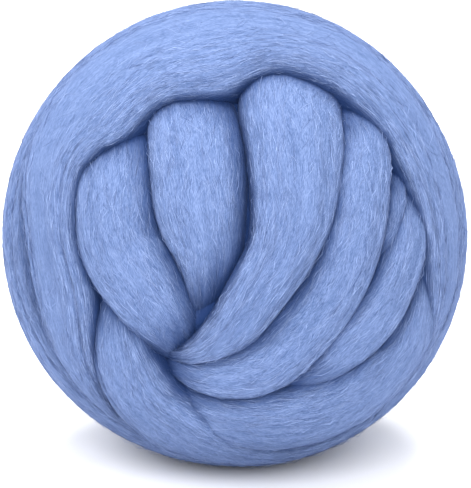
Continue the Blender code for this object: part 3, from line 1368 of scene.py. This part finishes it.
@dataclass
class LooseFibres:
    """Fibres that have worked loose, drawn as thin ribbons on the strands.

    Real merino fibres are 60 to 90 mm long and 0.02 mm thick. Here they are drawn about
    0.12 mm wide so that they show, and only as long as the stretch that lies on top. Of
    the `scattered` fibres, those that would lie buried, all of them deeper than
    `deepest`, are left out.

    They lean by up to `spread` from the strand's own direction, bend sideways by `crimp`,
    rise and sink by `weave`, and start up to `overhang` past the edges of the strand's
    top, as a share of it. A flyaway leans flyaway_spread times as far and lifts one end
    by up to flyaway_height. A bowed fibre lifts its middle, by bow_height on average and
    highest_bow at most, which gives the ball its haze.
    """

    form: BallForm
    strands: WoundStrands
    scattered: int = 226000
    deepest: float = 4.0 * MM
    pieces_made: int = 3
    segments: int = 2
    seed: int = 77
    shortest: float = 2.5 * MM
    longest: float = 8.0 * MM
    width: float = 0.125 * MM
    widths: tuple[float, float] = (0.7, 1.25)
    tip_width: float = 0.35
    taper: float = 4.0
    most_roll: float = 0.9
    spread: float = math.radians(17.0)
    crimp: float = 0.12 * MM
    weave: float = 0.10 * MM
    waves: tuple[float, float] = (0.8, 1.8)
    overhang: float = 0.09
    floor_gap: float = 0.15 * MM
    flyaway_share: float = 0.06
    flyaway_spread: float = 1.4
    flyaway_height: float = 0.45 * MM
    flyaway_heights: tuple[float, float] = (0.3, 1.0)
    flyaway_powers: tuple[float, float] = (1.0, 2.5)
    bowed_share: float = 0.4
    bow_height: float = 0.32 * MM
    highest_bow: float = 1.1 * MM
    scale_length: float = 20.0
    tone_digits: int = 4
    bake_inset: float = 0.2

    def pieces(self, wool: bpy.types.Material) -> list[bpy.types.Object]:
        """Build and dress the fibres.

        Args:
            wool: their finish.

        Returns:
            The fibres, shared out at random among a few pieces.
        """
        generator = np.random.default_rng(self.seed)
        surfaces, edge_drop = self.strands.surfaces, self.strands.builder.edge_drop
        areas = [
            surface.along[-1] * (2 * surface.path.half_widths.mean() + edge_drop)
            for surface in surfaces
        ]
        shares = np.array(areas) / sum(areas)
        centres, sides = [], []
        for surface, share in zip(surfaces, shares):
            lines, normals = self.lines(surface, round(self.scattered * share), generator)
            centres.append(lines)
            sides.append(self.half_widths(lines, normals, generator))
        centres, sides = np.concatenate(centres), np.concatenate(sides)
        outside = self.strands.folds.at(centres)[..., 0].min(axis=1) < self.deepest
        centres, sides = centres[outside], sides[outside]
        order = generator.permutation(len(centres))
        made = []
        for number, chosen in enumerate(np.array_split(order, self.pieces_made), start=1):
            parts = self.mesh_parts(centres[chosen], sides[chosen], generator)
            made.append(parts.to_object(f"loose_fibres_{number}", wool))
        return made

    def lines(
        self, surface: StrandSurface, number: int, generator: np.random.Generator
    ) -> tuple[np.ndarray, np.ndarray]:
        """The centre lines of one strand's fibres.

        Args:
            surface: the strand's skin.
            number: how many fibres lie on it.
            generator: the source of all the chances.

        Returns:
            The lines and the skin's normals under them, a fibre by a sample by x, y, z.
        """
        share = np.linspace(0, 1, self.segments + 1)[None, :]
        lengths = generator.uniform(self.shortest, self.longest, number)
        starts = generator.uniform(0, len(surface.points), number)
        top = surface.top_columns
        column = generator.uniform(-self.overhang, 1 + self.overhang, number) * top
        angles = generator.uniform(-1, 1, number) * self.spread
        flyaway = generator.random(number) < self.flyaway_share
        angles = np.where(flyaway, angles * self.flyaway_spread, angles)
        column_width = surface.round_about[top - 1] / top
        drift = np.tan(angles)[:, None] * share * lengths[:, None] / column_width
        crimp = generator.normal(0, self.crimp, (number, share.size)) / column_width
        rows = starts[:, None] + share * (lengths / self.strands.builder.step)[:, None]
        points, normals = surface.at(rows, column[:, None] + drift + crimp)
        phase = generator.uniform(0, 2 * math.pi, number)[:, None]
        waves = generator.uniform(*self.waves, number)[:, None]
        lift = self.weave * np.sin(phase + share * 2 * math.pi * waves)
        heights = generator.uniform(*self.flyaway_heights, number)
        heights = heights * self.flyaway_height * flyaway
        arch = heights[:, None] * share ** generator.uniform(*self.flyaway_powers, number)[:, None]
        bows = np.minimum(generator.exponential(self.bow_height, number), self.highest_bow)
        bows = bows * (generator.random(number) < self.bowed_share)
        bow = bows[:, None] * 4 * share * (1 - share)
        points = points + normals * (lift + arch + bow)[..., None]
        points[..., 2] = np.maximum(points[..., 2], self.floor_gap)
        return points, normals

    def half_widths(
        self, lines: np.ndarray, normals: np.ndarray, generator: np.random.Generator
    ) -> np.ndarray:
        """Vectors from the fibres' centre lines to their edges.

        Args:
            lines: the centre lines, a fibre by a sample by x, y, z.
            normals: the skin's normals under them.
            generator: the source of all the chances.

        Returns:
            The vectors, rolled about the fibre by chance and shorter at its tips.
        """
        share = np.linspace(0, 1, self.segments + 1)[None, :]
        across = unit(np.cross(normals, unit(np.gradient(lines, axis=1))))
        roll = generator.uniform(-self.most_roll, self.most_roll, len(lines))[:, None, None]
        across = unit(across * np.cos(roll) + normals * np.sin(roll))
        widths = self.width * generator.uniform(*self.widths, len(lines))[:, None, None] / 2
        to_tip = np.minimum(share, 1 - share)
        tapering = np.minimum(1.0, self.tip_width + self.taper * to_tip)[..., None]
        return across * widths * tapering

    def mesh_parts(
        self, centres: np.ndarray, sides: np.ndarray, generator: np.random.Generator
    ) -> MeshParts:
        """The mesh of the ribbons.

        Args:
            centres: the fibres' centre lines, a fibre by a sample by x, y, z.
            sides: the vectors from them to the fibres' edges.
            generator: the source of all the chances.

        Returns:
            The mesh, where each fibre has its own tone and its own cell of the bake map.
        """
        number, samples = centres.shape[:2]
        spans = samples - 1
        points = np.stack((centres - sides, centres + sides), axis=2).reshape(-1, 3)
        first = np.arange(number)[:, None] * samples * 2 + np.arange(spans)[None, :] * 2
        first = first.ravel()
        corners = np.column_stack((first, first + 1, first + 3, first + 2)).ravel()
        tones = generator.random(number)
        fibres = np.repeat(np.arange(number), 4 * spans)
        low = np.tile(np.arange(spans), number) / spans
        high = np.tile(np.arange(1, samples), number) / spans
        lengthwise = np.column_stack((low, low, high, high)).ravel()
        crosswise = np.tile((0.0, 1.0, 1.0, 0.0), len(first))
        tones = np.round(tones[fibres], self.tone_digits)
        fibre_map = np.column_stack((tones, lengthwise * self.scale_length))
        across_cells = math.ceil(math.sqrt(number))
        cell = np.column_stack((fibres % across_cells, fibres // across_cells))
        inside = (1 - 2 * self.bake_inset) * np.column_stack((crosswise, lengthwise))
        bake_map = (cell + self.bake_inset + inside) / across_cells
        # The fold depths, by which the wool paints shade into the folds.
        fold_shade_map = (self.strands.folds.at(points) / MM)[corners]
        uv_maps = {"fibre_uv": fibre_map, "fold_uv": fold_shade_map, "OFBake": bake_map}
        return MeshParts(points, corners, np.full(len(first), 4), uv_maps)


@dataclass(frozen=True)
class Softbox:
    """A round soft light that faces the ball, its sizes in metres and its power in watts."""

    name: str
    place: tuple[float, float, float]
    size: float
    power: float


@dataclass
class Studio:
    """The floor, the lights and the camera, in metres and radians.

    pixel is what one pixel of the frame spans at the ball, and centre_rise is how many
    pixels the ball's centre lies over the middle of the frame.
    """

    form: BallForm
    floor_size: float = 8.0
    floor_rows: int = 9
    camera_distance: float = 0.9
    camera_height: float = math.radians(13.0)
    sensor_width: float = 36.0
    nearest: float = 0.05
    pixel: float = 0.3205 * MM
    centre_rise: float = 9.0
    world_strength: float = 1.0
    softboxes: tuple[Softbox, ...] = (
        Softbox("front_softbox", (0.0, -1.58, 1.02), 1.3, 39.0),
        Softbox("left_softbox", (-1.23, -0.71, 1.26), 1.3, 11.0),
        Softbox("overhead_softbox", (0.0, 0.2, 1.87), 1.3, 52.0),
    )

    def build(self) -> None:
        """Lay the floor, hang the lights and set up the camera."""
        self.lay_floor()
        self.light()
        self.place_camera()

    def lay_floor(self) -> None:
        """Lay a pale floor under the ball."""
        half, rows = self.floor_size / 2, self.floor_rows
        x, y = np.meshgrid(np.linspace(-half, half, rows), np.linspace(-half, half, rows))
        points = np.column_stack((x.ravel(), y.ravel(), np.zeros(x.size)))
        corners = grid_corners(rows, rows)[0]
        parts = MeshParts(points, corners, np.full(len(corners) // 4, 4), {})
        floor = parts.to_object("studio_floor", PaintedFloor().material())

    def light(self) -> None:
        """Light the ball by an even white surround and softboxes in front, left and overhead."""
        world = bpy.data.worlds.new("white_surround")
        world.use_nodes = True
        background = world.node_tree.nodes["Background"]
        background.inputs["Color"].default_value = linear("FFFFFF")
        background.inputs["Strength"].default_value = self.world_strength
        scene = bpy.context.scene
        scene.world = world
        scene.view_settings.view_transform = "Standard"
        for softbox in self.softboxes:
            panel = bpy.data.lights.new(softbox.name, "AREA")
            panel.shape = "DISK"
            panel.size = softbox.size
            panel.energy = softbox.power
            item = bpy.data.objects.new(softbox.name, panel)
            item.location = softbox.place
            to_ball = Vector(self.form.centre()) - item.location
            item.rotation_euler = to_ball.to_track_quat("-Z", "Y").to_euler()
            scene.collection.objects.link(item)

    def place_camera(self) -> None:
        """Set up a camera that sees the ball as large as the frame."""
        lens = bpy.data.cameras.new("camera")
        lens.sensor_fit = "HORIZONTAL"
        lens.sensor_width = self.sensor_width
        lens.lens = self.sensor_width * self.camera_distance / (self.pixel * IMAGE_WIDTH)
        lens.clip_start = self.nearest
        camera = bpy.data.objects.new("camera", lens)
        back = Vector((0.0, -math.cos(self.camera_height), math.sin(self.camera_height)))
        up = Vector((0.0, math.sin(self.camera_height), math.cos(self.camera_height)))
        centre = Vector(self.form.centre())
        camera.location = centre + back * self.camera_distance
        aim = centre - up * self.centre_rise * self.pixel
        camera.rotation_euler = (aim - camera.location).to_track_quat("-Z", "Y").to_euler()
        bpy.context.scene.collection.objects.link(camera)
        bpy.context.scene.camera = camera


# --------------------------------------------------------------------------------------
# The whole scene


def report(name: str, pieces: Sequence[bpy.types.Object]) -> None:
    """Log how many faces each piece of a sub-assembly has."""
    for piece in pieces:
        LOG.info("%s: %s, %d faces", name, piece.name, len(piece.data.polygons))


def main() -> None:
    """Build, dress and light the ball."""
    logging.basicConfig(level=logging.INFO)
    form = BallForm()
    wool = CombedMerino().material()
    loose_wool = LooseMerino().material()
    strands = WoundStrands.wound(form)
    groups = {
        "strands": strands.pieces(wool),
        "core": WoundCore(form, strands.folds).pieces(wool),
        "fibres": LooseFibres(form, strands).pieces(loose_wool),
    }
    for name, pieces in groups.items():
        for piece in pieces:
            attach(piece, "root")
        report(name, pieces)
    for piece in groups["strands"]:
        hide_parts("wound_ball")
    Studio(form).build()


if __name__ == "__main__":
    main()
